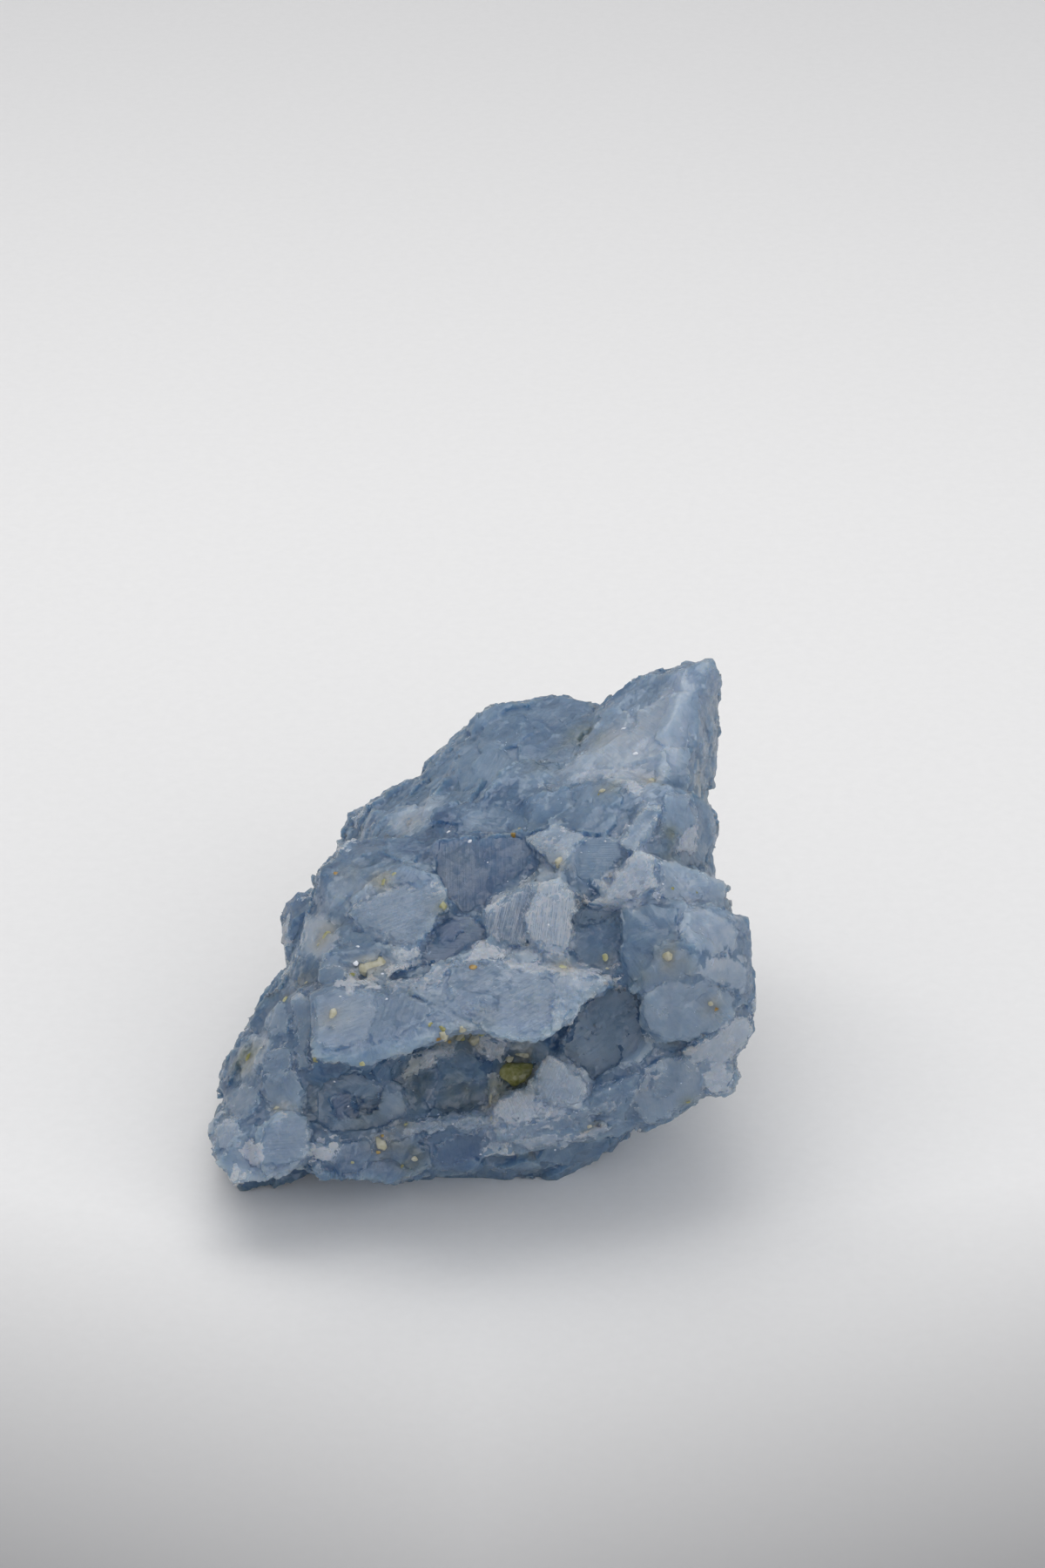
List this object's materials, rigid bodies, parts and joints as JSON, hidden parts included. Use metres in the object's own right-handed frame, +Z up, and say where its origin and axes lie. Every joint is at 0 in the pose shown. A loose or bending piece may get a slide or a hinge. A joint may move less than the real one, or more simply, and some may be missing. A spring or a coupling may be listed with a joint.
{
  "type": "raw blue calcite",
  "caption": "Rough, loose chunk of pale to slate blue calcite: a wedge of grown-together cleavage grains with a sharp rear peak, a jutting front ledge and a small flat resting face.",
  "frame": {"origin": "centre of the bounding box in X and Y, on the surface the stone stands on", "axes": "+Z up from the resting face; +Y from the low, overhanging front edge to the high back; +X towards the rounded bulge beside the ledge"},
  "size_m": [0.0458, 0.0545, 0.0385],
  "materials": {
    "calcite": "satin"
  },
  "bodies": {
    "root": {"blue_calcite": "calcite"}
  },
  "joints": []
}
